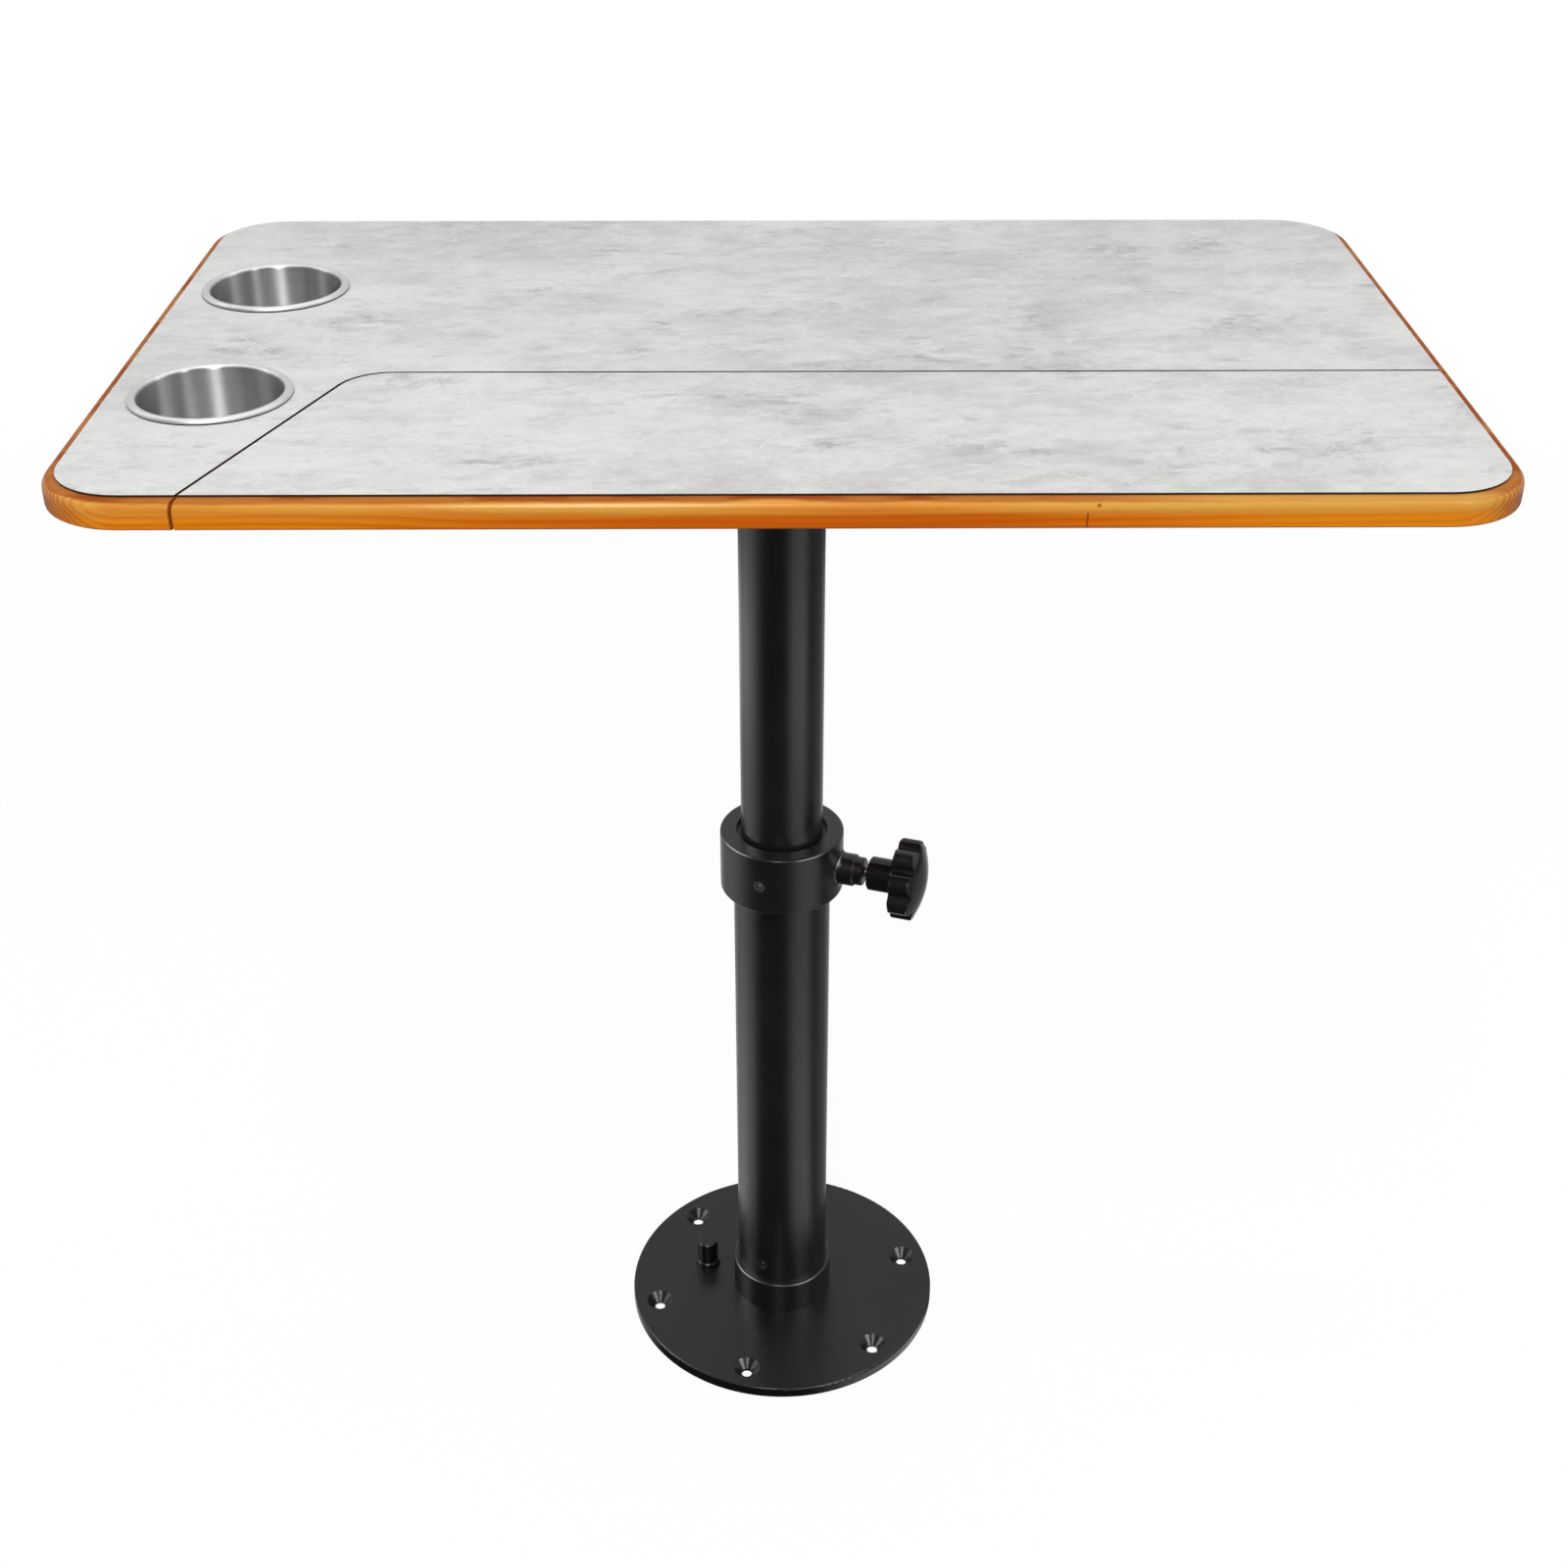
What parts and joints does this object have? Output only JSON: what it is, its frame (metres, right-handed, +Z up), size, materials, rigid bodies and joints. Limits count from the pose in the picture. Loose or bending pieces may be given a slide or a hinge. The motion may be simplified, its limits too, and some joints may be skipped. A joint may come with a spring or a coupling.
{
  "type": "single pole camper table",
  "caption": "Camper table with a stone-look top, a drop leaf and sunk cup holders, on a telescopic pole with a screw clamp and a round floor plate with bolt holes.",
  "frame": {"origin": "on the floor, on the pole's axis, at the middle of the floor plate's ring of bolt holes", "axes": "+Z up along the pole, +X to the right and +Y to the rear as seen by someone at the leaf's edge"},
  "size_m": [0.646, 0.409, 0.7225],
  "materials": {
    "pine": "varnished honey pine",
    "laminate": "satin laminate with a soft grey stone pattern",
    "stainless": "brushed stainless",
    "black_steel": "satin black powder coat",
    "black_plastic": "moulded black plastic",
    "guide_plastic": "plain black plastic",
    "spring_steel": "oiled spring steel",
    "set_screw_steel": "blackened steel",
    "zinc_steel": "bright zinc plate",
    "pad_brass": "plain brass"
  },
  "bodies": {
    "base": {"base_plate": "black_steel", "tube_spigot": "black_steel", "base_trim_ring": "black_steel", "base_peg": "black_steel", "foot_set_screw": "set_screw_steel", "lower_tube": "black_steel", "clamp_collar": "black_steel", "collar_set_screw": "set_screw_steel", "guide_bush": "guide_plastic"},
    "glide": {"glide_bush": "guide_plastic"},
    "top": {"upper_tube": "black_steel", "foot_plug": "guide_plastic", "retaining_ring": "spring_steel", "top_flange": "black_steel", "flange_set_screw": "set_screw_steel", "flange_screws": "zinc_steel", "main_board": "pine", "main_laminate": "laminate", "cup_front": "stainless", "cup_rear": "stainless", "hinge_main_plate_1": "zinc_steel", "hinge_main_plate_2": "zinc_steel", "hinge_main_plate_3": "zinc_steel", "hinge_pin_1": "zinc_steel", "hinge_pin_2": "zinc_steel", "hinge_pin_3": "zinc_steel", "hinge_main_screws": "zinc_steel", "stay_main_bracket_right": "zinc_steel", "stay_main_bracket_left": "zinc_steel", "stay_main_rivets": "zinc_steel", "stay_main_screws": "zinc_steel"},
    "leaf": {"leaf_board": "pine", "leaf_laminate": "laminate", "hinge_leaf_plate_1": "zinc_steel", "hinge_leaf_plate_2": "zinc_steel", "hinge_leaf_plate_3": "zinc_steel", "hinge_leaf_screws": "zinc_steel", "stay_leaf_bracket_right": "zinc_steel", "stay_leaf_bracket_left": "zinc_steel", "stay_leaf_rivets": "zinc_steel", "stay_leaf_screws": "zinc_steel"},
    "stay_rear_arms": {"stay_rear_arm_right": "zinc_steel", "stay_rear_arm_left": "zinc_steel", "stay_elbow_rivets": "zinc_steel"},
    "stay_front_arms": {"stay_front_arm_right": "zinc_steel", "stay_front_arm_left": "zinc_steel"},
    "clamp_pad": {"clamp_pad": "pad_brass"},
    "knob": {"clamp_stud": "zinc_steel", "clamp_knob": "black_plastic"}
  },
  "joints": [
    {"name": "column_slide", "type": "slide", "parent": "base", "child": "glide", "axis": [0, 0, 1], "range_m": [-0.22, 0.02]},
    {"name": "table_swivel", "type": "hinge", "parent": "glide", "child": "top", "pos_m": [0, 0, 0.3], "axis": [0, 0, 1], "continuous": true},
    {"name": "leaf_fold", "type": "hinge", "parent": "top", "child": "leaf", "pos_m": [0, -0.1255, 0.701], "axis": [1, 0, 0], "range_deg": [0, 90]},
    {"name": "stay_rear_pivot", "type": "hinge", "parent": "top", "child": "stay_rear_arms", "pos_m": [0, -0.0635, 0.701], "axis": [1, 0, 0], "range_deg": [0, 90]},
    {"name": "stay_elbow", "type": "hinge", "parent": "stay_rear_arms", "child": "stay_front_arms", "pos_m": [0, -0.1255, 0.701], "axis": [1, 0, 0], "range_deg": [-90, 0]},
    {"name": "clamp_advance", "type": "slide", "parent": "base", "child": "clamp_pad", "axis": [0.9511, -0.309, 0], "range_m": [0, 0.0038]},
    {"name": "knob_turn", "type": "hinge", "parent": "clamp_pad", "child": "knob", "pos_m": [0, 0, 0.3592], "axis": [0.9511, -0.309, 0], "range_deg": [0, 1080]}
  ],
  "couplings": [
    {"joint": "stay_rear_pivot", "follows": "leaf_fold", "ratio": 1},
    {"joint": "stay_elbow", "follows": "leaf_fold", "ratio": -1},
    {"joint": "clamp_advance", "follows": "knob_turn", "m_per_rad": 0.00019894}
  ]
}
